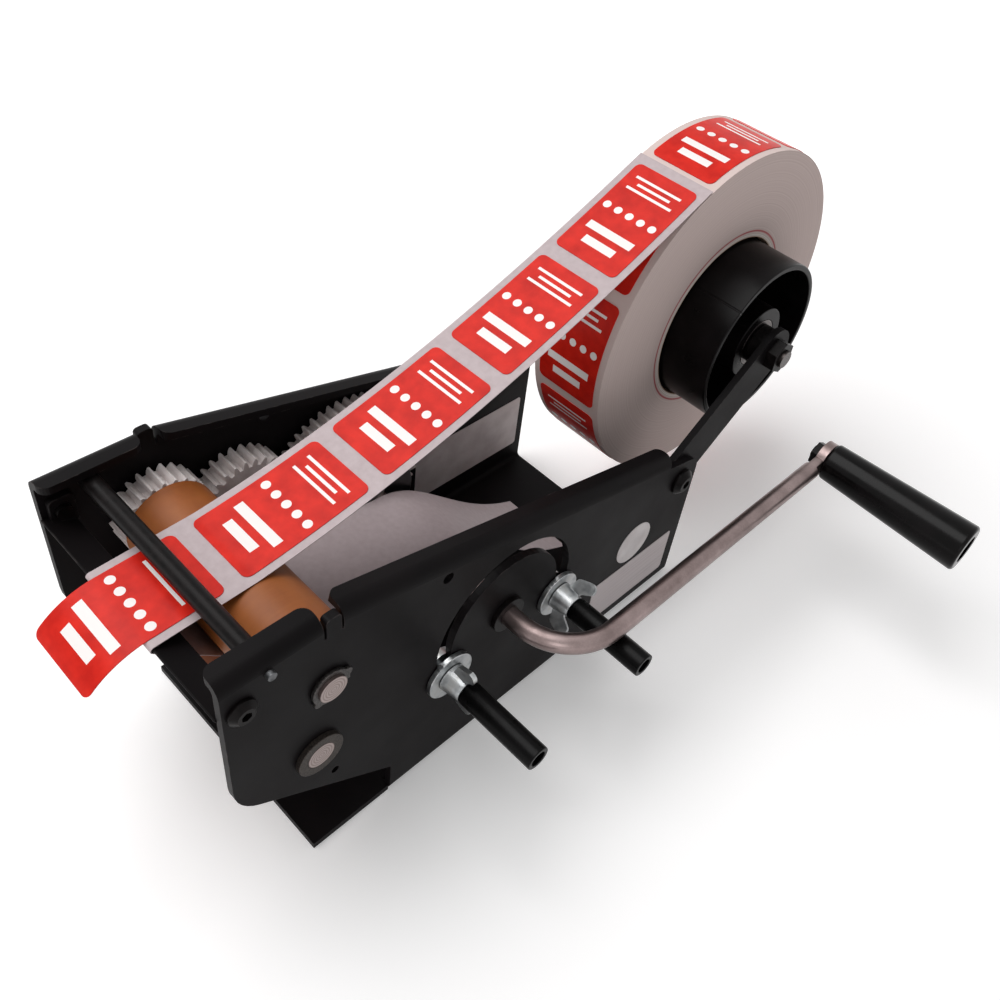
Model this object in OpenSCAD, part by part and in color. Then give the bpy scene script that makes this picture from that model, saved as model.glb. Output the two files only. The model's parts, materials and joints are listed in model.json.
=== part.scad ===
// Hand-cranked label dispenser: bent sheet chassis, geared drive roller, pinch roller,
// cranked rod with two adjustable stops, label roll on a cantilevered spool.
// X runs across the machine with + on the crank side, Y runs from front to back, Z is up.
// The origin is the middle of the underside of the base.

/* [Chassis] */
// Length of the base plate
base_len = 200; // [190:1:240]
// Width over the outer faces of the side walls
body_w = 102; // [96:1:130]
// Thickness of the steel sheet
sheet = 3; // [2:0.5:3.5]
// Outside radius of the bends
bend_r = 5; // [4.5:0.5:6]
// Height of the front flanges above the drive roller's axis
front_h = 30.7; // [28.7:0.1:43.7]
// How far the side walls reach past the base in front
overhang = 27; // [24:1:32]
// Width of the top flanges, from the outer face of the wall
flange_w = 9; // [8:0.5:12]
// Length of the front flanges
front_flange = 34; // [28:1:36]
// Gap between the front and the rear flanges
notch = 7; // [4:1:10]
// Downward slope of the rear flanges, degrees
rear_slope = 13.8; // [10:0.2:15]
// Length of wall left without a flange at the back
flange_stop = 20; // [16:1:26]
// Distance from the base's front edge to the start of the wall's bend
relief_set = 34; // [28:1:40]
// Height of the wall's lower edge at that place
relief_h = 18; // [14:1:24]
// Rise of the wall's lower edge toward the front, per unit length
relief_rise = 0.75; // [0.6:0.05:0.85]
// Radius of the walls' lower front corners
corner_r = 20; // [8:1:22]
// Diameter of the spare holes under the rear flanges
spare_d = 4.5; // [3:0.5:6]

/* [Rollers] */
// Diameter of the drive roller
drive_d = 31.75; // [28:0.25:33]
// Diameter of the pinch roller
pinch_d = 31.75; // [26:0.25:34]
// Distance from the base's front edge back to the drive roller's axis
drive_set = 8; // [6:0.5:10]
// Height of the drive roller's axis
drive_h = 96.3; // [94:0.1:97]
// Direction from the drive roller to the pinch roller, degrees
nip_dir = 261.1; // [256:0.1:268]
// Gap between the two rollers
nip_gap = 0.9; // [0.9:0.05:1.4]
// Diameter of the roller shafts
shaft_d = 10; // [8:0.5:12]
// Gap between the right wall and the drive roller
roller_gap = 3; // [2.5:0.5:6]
// How much shorter the pinch roller is at its right end
pinch_inset = 2; // [0:0.5:6]
// How far the shafts stick out of the walls
shaft_out = 2.5; // [2:0.5:4]

/* [Gears] */
// Gear module
gear_mod = 1.27; // [1.2:0.01:1.3]
// Teeth on the drive roller's gear
drive_teeth = 23; // [22:1:24]
// Teeth on the idler gear
idler_teeth = 28; // [27:1:29]
// Teeth on the crank gear
crank_teeth = 54; // [52:1:55]
// Direction from the drive roller's axis to the crank's axis, degrees
train_dir = -21.7; // [-23:0.1:-20]
// Width of the gear faces
face_w = 10; // [9:0.5:11]
// Play between meshing teeth
backlash = 0.3; // [0.2:0.05:0.5]

/* [Crank] */
// Diameter of the crank rod
rod_d = 8; // [7:0.5:9]
// Distance of the crank arm from the right wall
arm_out = 31.5; // [29:0.5:36]
// Bend radius of the rod's centre line
rod_bend = 24; // [18:1:25]
// Length of the arm from the crank's axis to the grip's axis
arm_len = 172; // [150:1:190]
// Angle of the arm at rest, above level toward the back, degrees
arm_rest = -0.5; // [-3:0.5:1]
// Diameter of the one-way clutch
clutch_d = 35; // [28:1:38]
// Length of the grip
grip_len = 68.5; // [50:0.5:90]
// Diameter of the grip at the rod
grip_d1 = 17.5; // [16:0.5:20]
// Diameter of the grip at its outer end
grip_d2 = 22; // [20:0.5:26]
// Diameter of the grip's bolt
grip_bolt_d = 6; // [5:0.5:7]
// Diameter of the flattened eye at the end of the rod
eye_d = 16; // [12:0.5:17]
// Thickness of that eye
eye_t = 4; // [3:0.5:5]

/* [Stops] */
// Radius of the arc slot
slot_r = 30; // [28:0.5:33]
// Width of the arc slot
slot_w = 6.8; // [6.6:0.1:8]
// Angle where the slot starts, degrees
slot_from = -32; // [-36:1:-28]
// Angle where the slot ends, degrees
slot_to = 214; // [209:1:218]
// Angle of the rear stop, degrees
rear_stop_at = -20.5; // [-24:0.5:-20]
// Angle of the front stop, degrees
front_stop_at = 202; // [200:0.5:206]
// Diameter of the stop's stud
stud_d = 6; // [5:0.25:6.25]
// Outside diameter of the stop's tube
tube_d = 9.5; // [8:0.25:10]
// Distance of the tube's end from the wall
tube_out = 46; // [41:0.5:56]
// Diameter of the stop's washer
washer_d = 20; // [14:0.5:22]
// Thickness of that washer
washer_t = 2; // [1:0.25:2.5]
// Span of the wing nut over its wings
wing_span = 25; // [23:0.5:27]

/* [Label path] */
// Width of the backing paper
liner_w = 36; // [30:1:38]
// Place of the backing paper's middle, across the machine
liner_x = -1; // [-2:0.5:2]
// Thickness of the backing paper
liner_t = 0.25; // [0.2:0.01:0.28]
// Width of a label
label_w = 30; // [20:0.5:30]
// Length of a label along the paper
label_len = 49; // [30:0.5:50]
// Distance from one label to the next
label_pitch = 55.5; // [54:0.5:60]
// Thickness of a label
label_t = 0.3; // [0.2:0.05:0.4]
// How far the front label sticks out past the peel edge
label_out = 23; // [10:0.5:26]
// Corner radius of a label
label_r = 2.5; // [1:0.25:5]
// Height of the peel edge above the drive roller's axis
peel_h = 13.9; // [11.7:0.1:14.2]
// Depth of the peel plate from front to back
peel_deep = 11; // [9:0.25:12]
// Tilt of the peel plate, degrees
peel_tilt = 22; // [16:1:25]
// Thickness of the peel plate
peel_t = 2.5; // [2:0.25:3]
// Diameter of the hold-down bar
bar_d = 6.35; // [5.5:0.05:7.5]
// Distance of the bar's axis behind the walls' front edge
bar_set = 15.6; // [14:0.2:17]
// Depth of the bar's axis below the top of the front flanges
bar_h = 6.5; // [6:0.1:7.5]

/* [Spool] */
// Distance of the spool's axis behind the base's back edge
spool_back = 44.4; // [40:0.2:56]
// Height of the spool's axis
spool_h = 108.7; // [104:0.1:116]
// Outside diameter of the label roll
roll_d = 155; // [110:1:158]
// Outside diameter of the spool hub
hub_d = 75.5; // [70:0.5:78]
// Wall of the paper core
core_wall = 2; // [1.5:0.25:3]
// Wall of the hub's shell
hub_wall = 2.6; // [2:0.1:4]
// Height of the step between the hub's rim and the core's seat
seat_step = 1.2; // [0.5:0.1:2]
// Distance of that step behind the face of the roll
seat_back = 4; // [2:0.5:8]
// Distance from the right wall's inner face to the hub's rim
hub_gap = 7.6; // [7:0.2:10]
// Overall length of the hub
hub_len = 63.4; // [61:0.2:66]
// Diameter of the hub's inner boss
boss_d = 33; // [28:0.5:36]
// Diameter of the spool's axle
axle_d = 12; // [10:0.5:14]
// Outside diameter of the spool's bearings
bearing_d = 22; // [20:0.5:24]
// Width of the roll arm
arm_w = 22; // [18:0.5:24]
// Thickness of the roll arm
arm_t = 3; // [2:0.5:4]
// Distance of the arm's screw from the back of the wall
arm_screw_set = 10.6; // [9:0.2:13]
// Depth of the arm's screw below the top edge of the wall
arm_screw_h = 10.75; // [10:0.25:16.5]

/* [Stickers] */
// Diameter of the round sticker
dot_d = 21; // [14:0.5:26]
// Length of the plate sticker
plate_len = 52; // [36:1:54]
// Height of the plate sticker
plate_h = 25; // [16:1:26]
// Length of the sticker inside the left wall
inner_len = 66; // [40:1:66]
// Height of the sticker inside the left wall
inner_h = 30; // [20:1:32]

/* [Clearances] */
// Radial play of a running fit
fit = 0.05; // [0.02:0.01:0.09]
// Gap between moving pieces that don't touch
gap = 0.3; // [0.3:0.02:0.36]

/* [Hidden] */
$fn = 64;

// chassis levels
hw = body_w / 2;
top_h = drive_h + front_h;
inner = hw - sheet;
y_front = -base_len / 2;
y_back = base_len / 2;
wall_front = y_front - overhang;
notch_a = wall_front + front_flange;
notch_b = notch_a + notch;
relief_y = y_front + relief_set;
flange_end = y_back - flange_stop;
// upright tab of the wall between the flanges: cut at each side, depth of the cuts below the bends,
// step down from the flange's top, corner radius
tab_cut = 0.8;
notch_deep = 3;
tab_drop = 0.5;
tab_r = min(1.5, 0.45 * (notch - 2 * tab_cut));
tab_top = top_h - tab_drop;
cut_floor = top_h - bend_r - notch_deep;
function flange_top(y) = top_h - (y - notch_b) * tan(rear_slope);
function wall_top(y) = flange_top(y) - bend_r / cos(rear_slope);

// peel plate: lead of its edge over the walls, edge thickness, length of the edge's taper,
// place of its screws, and the ears' setback, length, height and depth at both sides
peel_lead = 0.5;
peel_lip = 0.6;
peel_taper = 3;
peel_screw_back = 6.5;
peel_screw_up = 2;
ear_back = 2.5;
ear_len = 8.5;
ear_up = 7.5;
ear_down = 3.2;
ear_fall = 2;
ear_r = 2;

// axes, each as [y, z]
drive_at = [y_front + drive_set, drive_h];
pinch_at = drive_at + ((drive_d + pinch_d) / 2 + nip_gap) * [cos(nip_dir), sin(nip_dir)];
mesh_1 = gear_mod * (drive_teeth + idler_teeth) / 2;
mesh_2 = gear_mod * (idler_teeth + crank_teeth) / 2;
idler_at = drive_at + mesh_1 * [cos(train_dir), sin(train_dir)];
crank_at = idler_at + mesh_2 * [cos(train_dir), sin(train_dir)];
bar_at = [wall_front + bar_set, top_h - bar_h];
spool_at = [y_back + spool_back, spool_h];
arm_screw_at = [y_back - arm_screw_set, wall_top(y_back - arm_screw_set) - arm_screw_h];
peel_tip = [wall_front - peel_lead, drive_h + peel_h];
peel_screw_at = peel_tip + [peel_screw_back, peel_screw_up];
spare_at = [wall_front + 82, wall_top(wall_front + 82) - spare_d / 2 - 0.6];
small_at = pinch_at + [6.5, -19];
function stop_at(a) = crank_at + slot_r * [cos(a), sin(a)];

// fastener and bushing sizes
peel_screw_d = 5;
bar_pin_d = 3;
bar_pin_out = 1.6;
bar_pin_in = 9;
// the bar's ends are chamfered to clear the inside of the flanges' bends
bend_in = bend_r - sheet;
bar_cham = max(0.3, bend_r - bar_h + bar_d / 2 - sqrt(2 * bend_in * gap - gap * gap) + 0.15);
arm_screw_d = 6;
small_d = 3;
bush_wall = 1.5;
bush_flange = 4;
bush_flange_t = 1.2;
pinch_flange_t = 2;
ring_t = 1.2;
ring_w = 1.8;
nut_t = 5;
grip_nut_t = 3.5;
head_gap = 0.1;
drive_bush_d = shaft_d + 2 * fit + 2 * bush_wall;
crank_bush_d = rod_d + 2 * fit + 2 * bush_wall;

// gears, along X
gear_gap = bush_flange_t + gap;
gear_x0 = -inner + gear_gap;
gear_x1 = gear_x0 + face_w;
clutch_x1 = liner_x - liner_w / 2 - 2.6;
roller_x0 = gear_x1 + 1;
roller_x1 = inner - roller_gap;
idler_pin_d = 8;

// crank, along X
arm_x = hw + arm_out;
bend_x = arm_x - rod_bend;
grip_x0 = arm_x + eye_t / 2 + gap;
grip_x1 = grip_x0 + grip_len;
grip_recess = 8;
grip_head_d = grip_bolt_d + 5;

// stops, along X
washer_x0 = hw + gap;
wing_x0 = washer_x0 + washer_t + gap;
wing_h = 8;
tube_x0 = wing_x0 + wing_h + gap;
tube_x1 = hw + tube_out;
stud_head_t = 3;
stud_head_w = 3.5;
stud_short = 8;
front_wing_turn = 90;
rear_wing_turn = 42;

// spool, along X
liner_x0 = liner_x - liner_w / 2;
hub_x1 = inner - hub_gap;
hub_x0 = hub_x1 - hub_len;
seat_d = hub_d + 2 * seat_step;
core_in = seat_d + 2 * head_gap;
seat_x1 = liner_x0 + liner_w - seat_back;
core_out = core_in + 2 * core_wall;
web_disc = 6;
web_disc_x = hub_x0 + 24;
bearing_w = 9;
arm_x0 = inner - arm_t;

// paper path, each point as [y, z], from the roll over the drive roller to the peel edge,
// round it, back through the nip, over the crank rod and down to the base
drive_r = drive_d / 2 + gap;
roll_r = roll_d / 2 + label_t + gap;
web_slope = 25.6;
web_from = spool_at + roll_r * [-sin(web_slope), cos(web_slope)];
web_top = drive_at + [0, drive_r];
web_steps = 28;
rise = 0.12;
web_bend_y = (web_from[1] - web_top[1] - tan(web_slope) * web_from[0] + rise * web_top[0])
    / (rise - tan(web_slope));
web_ctrl = [web_bend_y, web_top[1] + rise * (web_bend_y - web_top[0])];
function quad(a, b, c, t) = (1 - t) * (1 - t) * a + 2 * t * (1 - t) * b + t * t * c;
function cubic(a, b, c, d, t) = pow(1 - t, 3) * a + 3 * t * pow(1 - t, 2) * b
    + 3 * t * t * (1 - t) * c + pow(t, 3) * d;
function arc(c, r, a, b, n) = [for (i = [0:n]) c + r * [cos(a + (b - a) * i / n), sin(a + (b - a) * i / n)]];
function inside(v) = [for (i = [1:len(v) - 2]) v[i]];
wrap_r = 1.1;
wrap_at = [peel_tip[0] + wrap_r - 0.35, peel_tip[1] - 0.75];
peel_turn = wrap_at + [0, wrap_r];
free_run = concat(
    [for (i = [0:web_steps]) quad(web_from, web_ctrl, web_top, i / web_steps)],
    [for (i = [1:6]) web_top + (peel_turn - web_top) * i / 6]);
to_wrap = drive_at - wrap_at;
wrap_dist = norm(to_wrap);
wrap_end = atan2(to_wrap[1], to_wrap[0]) + asin((wrap_r - drive_r) / wrap_dist) - 90 + 360;
nip_from = wrap_end;
nip_end = drive_at + drive_r * [cos(nip_dir), sin(nip_dir)];
nip_go = [-sin(nip_dir), cos(nip_dir)];
over_rod = crank_at + [0, rod_d / 2 + gap + liner_t];
tail_end = [crank_at[0] + 78, sheet + 12];
back_run = concat(
    arc(wrap_at, wrap_r, 90, wrap_end, 10),
    arc(drive_at, drive_r, nip_from, nip_dir, 8),
    [for (i = [1:12]) cubic(nip_end, nip_end + 28 * nip_go, over_rod - 24 * [0.99, -0.12], over_rod, i / 12)],
    [for (i = [1:16]) cubic(over_rod, over_rod + [21, -2.5], tail_end + [-36, 15], tail_end, i / 16)]);
function run_sum(v, i) = i <= 0 ? 0 : norm(v[i] - v[i - 1]) + run_sum(v, i - 1);
free_len = run_sum(free_run, len(free_run) - 1);

// the paper lies on the roll as far as the gap after the last whole label
label_gap = label_pitch - label_len;
web_count = floor((free_len + label_out - label_len + 0.2 * label_pitch) / label_pitch);
lap_len = max(2, web_count * label_pitch + label_len - label_out + label_gap * 0.7 - free_len);
lap = lap_len / roll_r * 180 / PI;
on_roll = arc(spool_at, roll_r, 90 + web_slope - lap, 90 + web_slope, 6);
run = concat([for (i = [0:5]) on_roll[i]], free_run);
paper = concat(run, [for (i = [1:len(back_run) - 1]) back_run[i]]);

// lengths along the upper run, counted from the peel edge
run_back = [for (i = [len(run) - 1:-1:0]) run[i]];
run_y = [for (i = [0:len(run_back) - 1]) [run_sum(run_back, i), run_back[i][0]]];
run_z = [for (i = [0:len(run_back) - 1]) [run_sum(run_back, i), run_back[i][1]]];
run_len = run_sum(run_back, len(run_back) - 1);
function on_run(s) = [lookup(s, run_y), lookup(s, run_z)];
function dir_at(v, i) = let (a = v[max(i - 1, 0)], b = v[min(i + 1, len(v) - 1)]) (b - a) / norm(b - a);
function right_of(v, i, d) = v[i] + d * [dir_at(v, i)[1], -dir_at(v, i)[0]];
function strip(v, d0, d1) = concat([for (i = [0:len(v) - 1]) right_of(v, i, d0)],
    [for (i = [len(v) - 1:-1:0]) right_of(v, i, d1)]);

// outline with rounded corners, each point as [x, y, radius]
function unit(v) = v / norm(v);
function corner(a, p, b) = let (q = [p[0], p[1]], u = unit([a[0], a[1]] - q), w = unit([b[0], b[1]] - q),
    ang = acos(max(-1, min(1, u * w))), r = p[2], k = r / tan(ang / 2),
    c = q + unit(u + w) * r / sin(ang / 2), s = q + u * k - c, e = q + w * k - c,
    a0 = atan2(s[1], s[0]), a1 = atan2(e[1], e[0]),
    d = a1 - a0 > 180 ? a1 - a0 - 360 : a1 - a0 < -180 ? a1 - a0 + 360 : a1 - a0)
    r <= 0 ? [q] : [for (i = [0:6]) c + r * [cos(a0 + d * i / 6), sin(a0 + d * i / 6)]];
function rounded(v) = [for (i = [0:len(v) - 1]) each
    corner(v[(i + len(v) - 1) % len(v)], v[i], v[(i + 1) % len(v)])];

// shared shapes
module along_x(x0, x1) { translate([x0, 0, 0]) rotate([90, 0, 90]) linear_extrude(x1 - x0) children(); }
module along_y(y0, y1) { translate([0, y1, 0]) rotate([90, 0, 0]) linear_extrude(y1 - y0) children(); }
module rod_x(x0, x1, d, at) { translate([x0, at[0], at[1]]) rotate([0, 90, 0]) cylinder(h = x1 - x0, d = d); }
module ring_x(x0, x1, d1, d0, at) {
    difference() {
        rod_x(x0, x1, d1, at);
        rod_x(x0 - 1, x1 + 1, d0, at);
    }
}
// quarter of a bend, with a short straight tail at both ends
module quarter(r1, r0) {
    intersection() {
        difference() {
            circle(r1);
            circle(r0);
        }
        square(r1 + 1);
    }
    translate([r0, -0.8]) square([r1 - r0, 1]);
    translate([-0.8, r0]) square([1, r1 - r0]);
}
module hex_x(x0, x1, across, at) {
    translate([x0, at[0], at[1]]) rotate([0, 90, 0]) cylinder(h = x1 - x0, d = across / cos(30), $fn = 6);
}
// round-headed socket screw with its seat at x0, pointing along -X
module socket_screw(x0, d, len, head_d, head_h, at) {
    difference() {
        union() {
            rod_x(x0 - len, x0 + head_h / 2, d, at);
            rod_x(x0, x0 + head_h * 0.4, head_d, at);
            translate([x0 + head_h * 0.4, at[0], at[1]]) rotate([0, 90, 0])
                cylinder(h = head_h * 0.6, d1 = head_d, d2 = head_d * 0.62);
        }
        hex_x(x0 + head_h * 0.35, x0 + head_h + 1, head_d * 0.32, at);
    }
}
// flanged bushing in the right wall; side 1 puts the flange outside, -1 inside
module bushing(d0, d1, flange_t, side, at) {
    difference() {
        union() {
            rod_x(inner, hw, d1, at);
            if (side > 0) rod_x(hw, hw + flange_t, d1 + bush_flange, at);
            else rod_x(inner - flange_t, inner, d1 + bush_flange, at);
        }
        rod_x(inner - flange_t - 1, hw + flange_t + 1, d0, at);
    }
}
// open retaining clip with two tips, its mouth at the angle turn
module snap_ring(x0, d, turn, at) {
    translate([x0, at[0], at[1]]) rotate([turn, 0, 0]) rotate([90, 0, 90])
        linear_extrude(ring_t) difference() {
        union() {
            circle(d / 2 + ring_w);
            for (s = [-1, 1]) rotate(s * 78) translate([d / 2 + ring_w - 0.4, 0]) circle(1.7);
        }
        circle(d / 2);
        polygon([[0, 0], [d, d * tan(48)], [d, -d * tan(48)]]);
    }
}
// involute gear outline
function involute(a) = tan(a) - a * PI / 180;
function tooth_half(z, rho) = let (r = gear_mod * z / 2, rb = r * cos(20))
    90 / z - backlash / (4 * r) * 180 / PI + (involute(20) - involute(acos(min(1, rb / rho)))) * 180 / PI;
module gear_face(z) {
    r = gear_mod * z / 2;
    root = r - 1.25 * gear_mod;
    low = max(root, r * cos(20));
    tip = r + gear_mod;
    levels = [root, low, (low + tip) / 2, tip];
    polygon([for (k = [0:z - 1]) each concat(
        [for (i = [0:3]) let (a = 360 * k / z - tooth_half(z, max(levels[i], low)))
            levels[i] * [cos(a), sin(a)]],
        [for (i = [3:-1:0]) let (a = 360 * k / z + tooth_half(z, max(levels[i], low)))
            levels[i] * [cos(a), sin(a)]])]);
}
module gear(z, turn, bore, boss, at) {
    difference() {
        union() {
            translate([0, at[0], at[1]]) rotate([turn, 0, 0]) along_x(gear_x0, gear_x1) gear_face(z);
            rod_x(gear_x0, gear_x1 + 0.5, boss, at);
        }
        rod_x(gear_x0 - 1, gear_x1 + 2, bore, at);
    }
}
idler_turn = train_dir + 180 + 180 / idler_teeth;
mesh_lead = (180 + 180 / idler_teeth) % (360 / idler_teeth);
crank_turn = train_dir + 180 + 180 / crank_teeth - mesh_lead * idler_teeth / crank_teeth;

// chassis
module wall_outline() {
    polygon(rounded([
        [wall_front, top_h - bend_r, 0], [notch_a, top_h - bend_r, 0],
        [notch_a, cut_floor, 0], [notch_a + tab_cut, cut_floor, 0],
        [notch_a + tab_cut, tab_top, tab_r], [notch_b - tab_cut, tab_top, tab_r],
        [notch_b - tab_cut, cut_floor, 0], [notch_b, cut_floor, 0],
        [notch_b, wall_top(notch_b), 0], [y_back, wall_top(y_back), 8], [y_back, bend_r, 0],
        [relief_y, bend_r, 0], [relief_y, relief_h, 2],
        [wall_front, relief_h + (relief_y - wall_front) * relief_rise, corner_r]]));
}
module hole(at, d) { translate(at) circle(d = d); }
module arc_slot() {
    ends = [for (a = [slot_from, slot_to]) slot_r * [cos(a), sin(a)]];
    translate(crank_at) polygon(concat(
        arc([0, 0], slot_r + slot_w / 2, slot_from, slot_to, 36),
        inside(arc(ends[1], slot_w / 2, slot_to, slot_to + 180, 8)),
        arc([0, 0], slot_r - slot_w / 2, slot_to, slot_from, 36),
        inside(arc(ends[0], slot_w / 2, slot_from + 180, slot_from + 360, 8))));
}
module wall(right) {
    along_x(inner, hw) difference() {
        wall_outline();
        hole(drive_at, drive_bush_d);
        hole(pinch_at, drive_bush_d);
        hole(crank_at, crank_bush_d);
        hole(bar_at, bar_pin_d + 2 * head_gap);
        hole(peel_screw_at, peel_screw_d + 2 * head_gap);
        hole(spare_at, spare_d);
        hole(small_at, small_d);
        if (right) {
            arc_slot();
            hole(arm_screw_at, arm_screw_d + 2 * head_gap);
        } else hole(idler_at, idler_pin_d);
    }
}
module flange_flat(len) {
    translate([0, 0, -sheet]) linear_extrude(sheet) polygon(rounded([
        [hw - bend_r, 0, 0], [hw - flange_w, 0, (flange_w - bend_r) * 0.9],
        [hw - flange_w, len, (flange_w - bend_r) * 0.9], [hw - bend_r, len, 0]]));
}
module flange(len) {
    flange_flat(len);
    translate([hw - bend_r, 0, -bend_r]) along_y(0, len) quarter(bend_r, bend_r - sheet);
}
module half_shell(right) {
    wall(right);
    difference() {
        translate([0, wall_front, top_h]) flange(front_flange);
        rod_x(inner - bend_r, hw + bend_r, bar_pin_d + 2 * head_gap, bar_at);
    }
    intersection() {
        translate([0, notch_b, top_h]) rotate([-rear_slope, 0, 0])
            flange((flange_end - notch_b) / cos(rear_slope));
        translate([0, notch_b, 0]) cube([body_w, base_len, top_h + 1]);
    }
    translate([hw - bend_r, 0, bend_r]) along_y(relief_y, y_back) mirror([0, 1])
        quarter(bend_r, bend_r - sheet);
    translate([0, relief_y, 0]) cube([hw - bend_r, y_back - relief_y, sheet]);
    translate([0, y_front, 0]) cube([hw - 1, relief_set, sheet]);
}
module chassis() {
    color([0.12, 0.11, 0.11]) {
        half_shell(true);
        mirror([1, 0, 0]) half_shell(false);
    }
}

// peel plate with an ear at each end
module peel_plate() {
    ear = peel_tip + [ear_back, 0];
    color([0.15, 0.14, 0.14]) difference() {
        union() {
            along_x(-inner, inner) translate(peel_tip) rotate(-peel_tilt)
                polygon([[0, 0], [0, -peel_lip], [peel_taper, -peel_t],
                    [peel_deep, -peel_t], [peel_deep, 0]]);
            for (s = [0, 1]) mirror([s, 0, 0]) along_x(inner - peel_t, inner)
                translate(ear) polygon(rounded([[0, -ear_down, 0], [0, ear_up, ear_r],
                    [ear_len, ear_up, ear_r], [ear_len, -ear_down - ear_fall, 0]]));
        }
        rod_x(-hw, hw, peel_screw_d + 2 * head_gap, peel_screw_at);
    }
}
module peel_screw() { socket_screw(hw, peel_screw_d, sheet + peel_t + 1.5, 9.5, 2.8, peel_screw_at); }
module peel_screw_right() { color([0.1, 0.1, 0.1]) peel_screw(); }
module peel_screw_left() { color([0.1, 0.1, 0.1]) mirror([1, 0, 0]) peel_screw(); }

// bar over the paper
module hold_down_bar() {
    color([0.13, 0.13, 0.13]) difference() {
        union() {
            rod_x(bend_in - inner, inner - bend_in, bar_d, bar_at);
            for (s = [0, 1]) mirror([s, 0, 0]) translate([inner - bend_in, bar_at[0], bar_at[1]])
                rotate([0, 90, 0])
                cylinder(h = bend_in - gap, d1 = bar_d, d2 = bar_d - 2 * bar_cham);
        }
        for (s = [0, 1]) mirror([s, 0, 0])
            rod_x(inner - bar_pin_in - 1, inner + 1, bar_pin_d + 2 * head_gap, bar_at);
    }
}
module bar_pin() { rod_x(inner - bar_pin_in, hw + bar_pin_out, bar_pin_d, bar_at); }
module bar_pin_right() { color([0.75, 0.75, 0.74]) bar_pin(); }
module bar_pin_left() { color([0.75, 0.75, 0.74]) mirror([1, 0, 0]) bar_pin(); }

// bushings
module drive_bushing_right() {
    color([0.2, 0.19, 0.18]) bushing(shaft_d + 2 * fit, drive_bush_d, bush_flange_t, -1, drive_at);
}
module drive_bushing_left() {
    color([0.2, 0.19, 0.18]) mirror([1, 0, 0])
        bushing(shaft_d + 2 * fit, drive_bush_d, bush_flange_t, -1, drive_at);
}
module pinch_bushing_right() {
    color([0.2, 0.19, 0.18]) bushing(shaft_d + 2 * fit, drive_bush_d, pinch_flange_t, 1, pinch_at);
}
module pinch_bushing_left() {
    color([0.2, 0.19, 0.18]) mirror([1, 0, 0])
        bushing(shaft_d + 2 * fit, drive_bush_d, pinch_flange_t, 1, pinch_at);
}
module crank_bushing_right() {
    color([0.1, 0.1, 0.1]) bushing(rod_d + 2 * fit, crank_bush_d, pinch_flange_t, 1, crank_at);
}
module crank_bushing_left() {
    color([0.1, 0.1, 0.1]) mirror([1, 0, 0])
        bushing(rod_d + 2 * fit, crank_bush_d, pinch_flange_t, 1, crank_at);
}

// idler stud with its shoulder and clip
module idler_stud() {
    color([0.6, 0.6, 0.6]) {
        rod_x(-hw, gear_x1 + 0.5 + gap + ring_t + 1, idler_pin_d, idler_at);
        rod_x(-inner, gear_x0 - gap, idler_pin_d + 4, idler_at);
        hex_x(-hw - nut_t, -hw, 13, idler_at);
    }
}
module idler_clip() { color([0.5, 0.5, 0.5]) snap_ring(gear_x1 + 0.5 + gap, idler_pin_d, 60, idler_at); }

// roll arm and spool axle
module roll_arm() {
    d = spool_at - arm_screw_at;
    a = atan2(d[1], d[0]);
    color([0.14, 0.13, 0.13]) along_x(arm_x0, inner) difference() {
        polygon(concat(arc(arm_screw_at, arm_w / 2, a + 90, a + 270, 16),
            arc(spool_at, arm_w / 2, a - 90, a + 90, 16)));
        hole(arm_screw_at, arm_screw_d + 2 * head_gap);
        hole(spool_at, axle_d - 4 + 2 * head_gap);
    }
}
module arm_screw() {
    color([0.12, 0.12, 0.12]) socket_screw(hw, arm_screw_d, sheet + arm_t + nut_t + 1, 12, 3.4, arm_screw_at);
}
module arm_nut() {
    color([0.12, 0.12, 0.12]) difference() {
        hex_x(arm_x0 - nut_t, arm_x0, 10, arm_screw_at);
        rod_x(arm_x0 - nut_t - 1, arm_x0 + 1, arm_screw_d + 2 * head_gap, arm_screw_at);
    }
}
module hub_axle() {
    color([0.7, 0.68, 0.66]) {
        rod_x(hub_x0 - gap - ring_t - 1.5, arm_x0, axle_d, spool_at);
        rod_x(arm_x0 - 1, inner + nut_t + 1.5, axle_d - 4, spool_at);
    }
}
module axle_nut() {
    color([0.75, 0.74, 0.72]) difference() {
        hex_x(inner, inner + nut_t, 13, spool_at);
        rod_x(inner - 1, inner + nut_t + 1, axle_d - 4 + 2 * head_gap, spool_at);
    }
}
module axle_collar() {
    color([0.75, 0.74, 0.72]) ring_x(hub_x1 - 1, arm_x0, axle_d + 6, axle_d + 2 * head_gap, spool_at);
}
module axle_clip() { color([0.5, 0.5, 0.5]) snap_ring(hub_x0 - gap - ring_t, axle_d, -60, spool_at); }

// paper and labels
module liner() {
    color([0.88, 0.85, 0.85]) along_x(liner_x0, liner_x0 + liner_w) polygon(strip(paper, 0, liner_t));
}
function label_points(s0, s1, n) = [for (i = [n:-1:0]) on_run(s0 + (s1 - s0) * i / n)];
module label_mask(y0, y1) {
    translate([0, 0, sheet]) linear_extrude(top_h + roll_d) polygon(rounded([
        [liner_x - label_w / 2, y0, label_r], [liner_x + label_w / 2, y0, label_r],
        [liner_x + label_w / 2, y1, label_r], [liner_x - label_w / 2, y1, label_r]]));
}
module web_labels() {
    color([0.92, 0.2, 0.16]) for (k = [1:web_count]) {
        s0 = k * label_pitch - label_out;
        intersection() {
            along_x(liner_x - label_w / 2 - 1, liner_x + label_w / 2 + 1)
                polygon(strip(label_points(s0 - 2, s0 + label_len + 2, 14), liner_t, liner_t + label_t));
            label_mask(on_run(s0)[0], on_run(s0 + label_len)[0]);
        }
    }
}
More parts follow.
